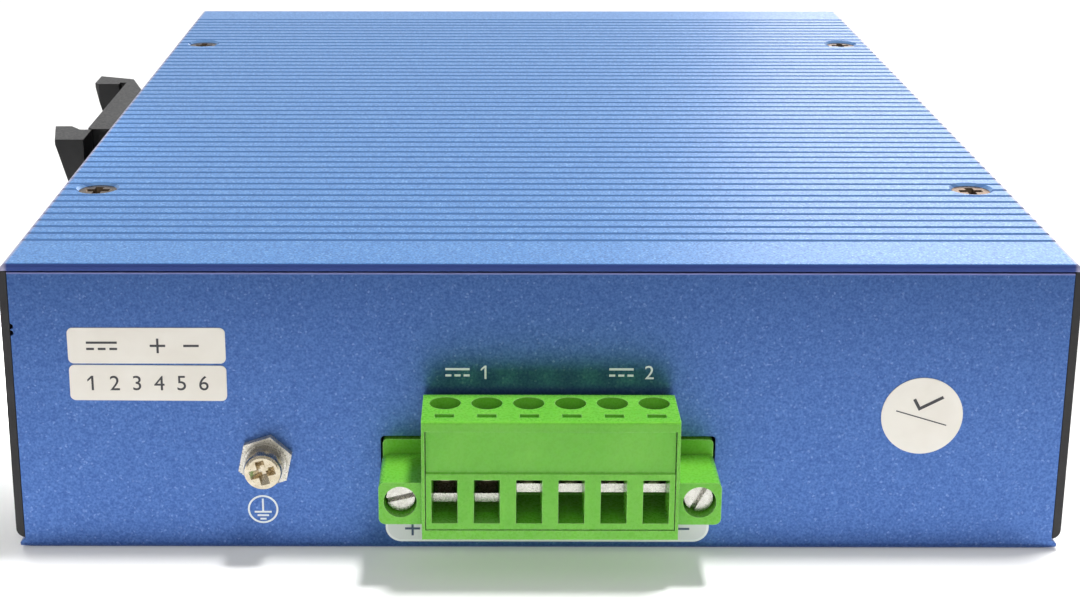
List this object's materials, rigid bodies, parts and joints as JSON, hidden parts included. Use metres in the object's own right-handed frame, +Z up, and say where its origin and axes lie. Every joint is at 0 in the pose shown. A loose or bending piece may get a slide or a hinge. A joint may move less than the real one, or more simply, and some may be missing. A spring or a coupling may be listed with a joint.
{
  "type": "power over ethernet switch",
  "caption": "Rail-mount network switch in a ribbed blue aluminium case with black end panels, a pluggable screw terminal, an earth screw, ports and a sprung rail clip",
  "frame": {"origin": "centre of the case's underside, on the surface it lies on", "axes": "+X from the rear rail clip to the front ports, +Y from the power terminal end to the far end, +Z up through the ribbed cover"},
  "size_m": [0.1463, 0.1748, 0.038],
  "materials": {
    "blue_aluminium": "sand-blasted blue anodised",
    "black_coat": "matt black powder coat on sheet steel",
    "nickel_steel": "nickel plated",
    "nickel_brass": "nickel plated, slightly warm",
    "spring_steel": "bright spring steel",
    "black_nylon": "glass-filled nylon, satin",
    "green_plastic": "moulded polyester, satin",
    "tinned_brass": "tin plated",
    "brass": "bare machined",
    "white_sticker": "printed film label, matt",
    "circuit_board": "solder-masked laminate",
    "black_socket_plastic": "moulded",
    "tin_plate": "tin-plated sheet",
    "gold_contact": "gold flashed",
    "clear_plastic": "clear moulding",
    "black_epoxy": "moulded chip body",
    "grey_silicone": "soft thermal pad",
    "black_aluminium": "black anodised",
    "ferrite": "sintered, matt",
    "capacitor_can": "sleeved can"
  },
  "bodies": {
    "case": {"base_channel": "blue_aluminium", "top_cover": "blue_aluminium", "front_panel": "black_coat", "rear_panel": "black_coat", "cover_screws": "nickel_steel", "base_screws": "nickel_steel", "din_clip_body": "black_nylon", "din_latch_spring": "spring_steel", "din_clip_screws": "nickel_steel", "din_clip_nuts": "nickel_steel", "earth_nut": "nickel_brass", "earth_flat_washer": "nickel_steel", "earth_split_washer": "spring_steel", "earth_screw": "nickel_brass", "earth_inner_nut": "nickel_steel", "terminal_header": "green_plastic", "header_pins": "tinned_brass", "header_inserts": "brass", "plug_housing": "green_plastic", "plug_frame": "green_plastic", "plug_contacts": "tinned_brass", "flange_screws": "nickel_steel", "rating_sticker_upper": "white_sticker", "rating_sticker_lower": "white_sticker", "round_sticker": "white_sticker", "main_board": "circuit_board", "board_spacers": "brass", "board_screws": "nickel_steel", "jack_body": "black_socket_plastic", "jack_shield": "tin_plate", "jack_contacts": "gold_contact", "port_cage_1": "tin_plate", "port_cage_2": "tin_plate", "cage_connectors": "black_socket_plastic", "light_pipe": "clear_plastic", "status_lights": "clear_plastic", "switch_chip": "black_epoxy", "thermal_pad": "grey_silicone", "heat_sink": "black_aluminium", "power_controllers": "black_epoxy", "port_transformers": "black_epoxy", "power_inductors": "ferrite", "bulk_capacitors": "capacitor_can", "isolating_transformer": "ferrite"},
    "din_latch": {"din_latch": "black_nylon"},
    "clamp_screw_1": {"clamp_screw_1": "nickel_steel"},
    "clamp_cage_1": {"clamp_cage_1": "nickel_steel"},
    "clamp_screw_2": {"clamp_screw_2": "nickel_steel"},
    "clamp_cage_2": {"clamp_cage_2": "nickel_steel"},
    "clamp_screw_3": {"clamp_screw_3": "nickel_steel"},
    "clamp_cage_3": {"clamp_cage_3": "nickel_steel"},
    "clamp_screw_4": {"clamp_screw_4": "nickel_steel"},
    "clamp_cage_4": {"clamp_cage_4": "nickel_steel"},
    "clamp_screw_5": {"clamp_screw_5": "nickel_steel"},
    "clamp_cage_5": {"clamp_cage_5": "nickel_steel"},
    "clamp_screw_6": {"clamp_screw_6": "nickel_steel"},
    "clamp_cage_6": {"clamp_cage_6": "nickel_steel"}
  },
  "joints": [
    {"name": "latch_pull", "type": "slide", "parent": "case", "child": "din_latch", "axis": [0, -1, 0], "range_m": [0, 0.004], "stiffness_N_per_m": 2000, "springref_m": -0.003},
    {"name": "clamp_turn_1", "type": "hinge", "parent": "case", "child": "clamp_screw_1", "pos_m": [-0.01155, -0.0865, 0.0157], "axis": [0, 0, 1], "range_deg": [-936.5, 864.5]},
    {"name": "cage_lift_1", "type": "slide", "parent": "case", "child": "clamp_cage_1", "axis": [0, 0, 1], "range_m": [-0.0012, 0.0013]},
    {"name": "clamp_turn_2", "type": "hinge", "parent": "case", "child": "clamp_screw_2", "pos_m": [-0.00647, -0.0865, 0.0157], "axis": [0, 0, 1], "range_deg": [-936.5, 864.5]},
    {"name": "cage_lift_2", "type": "slide", "parent": "case", "child": "clamp_cage_2", "axis": [0, 0, 1], "range_m": [-0.0012, 0.0013]},
    {"name": "clamp_turn_3", "type": "hinge", "parent": "case", "child": "clamp_screw_3", "pos_m": [-0.00139, -0.0865, 0.0157], "axis": [0, 0, 1], "range_deg": [-0.5, 1800.5]},
    {"name": "cage_lift_3", "type": "slide", "parent": "case", "child": "clamp_cage_3", "axis": [0, 0, 1], "range_m": [-0.0025, 0]},
    {"name": "clamp_turn_4", "type": "hinge", "parent": "case", "child": "clamp_screw_4", "pos_m": [0.00369, -0.0865, 0.0157], "axis": [0, 0, 1], "range_deg": [-0.5, 1800.5]},
    {"name": "cage_lift_4", "type": "slide", "parent": "case", "child": "clamp_cage_4", "axis": [0, 0, 1], "range_m": [-0.0025, 0]},
    {"name": "clamp_turn_5", "type": "hinge", "parent": "case", "child": "clamp_screw_5", "pos_m": [0.00877, -0.0865, 0.0157], "axis": [0, 0, 1], "range_deg": [-0.5, 1800.5]},
    {"name": "cage_lift_5", "type": "slide", "parent": "case", "child": "clamp_cage_5", "axis": [0, 0, 1], "range_m": [-0.0025, 0]},
    {"name": "clamp_turn_6", "type": "hinge", "parent": "case", "child": "clamp_screw_6", "pos_m": [0.01385, -0.0865, 0.0157], "axis": [0, 0, 1], "range_deg": [-0.5, 1800.5]},
    {"name": "cage_lift_6", "type": "slide", "parent": "case", "child": "clamp_cage_6", "axis": [0, 0, 1], "range_m": [-0.0025, 0]}
  ],
  "couplings": [
    {"joint": "clamp_turn_1", "follows": "cage_lift_1", "rad_per_m": -12566},
    {"joint": "clamp_turn_2", "follows": "cage_lift_2", "rad_per_m": -12566},
    {"joint": "clamp_turn_3", "follows": "cage_lift_3", "rad_per_m": -12566},
    {"joint": "clamp_turn_4", "follows": "cage_lift_4", "rad_per_m": -12566},
    {"joint": "clamp_turn_5", "follows": "cage_lift_5", "rad_per_m": -12566},
    {"joint": "clamp_turn_6", "follows": "cage_lift_6", "rad_per_m": -12566}
  ]
}
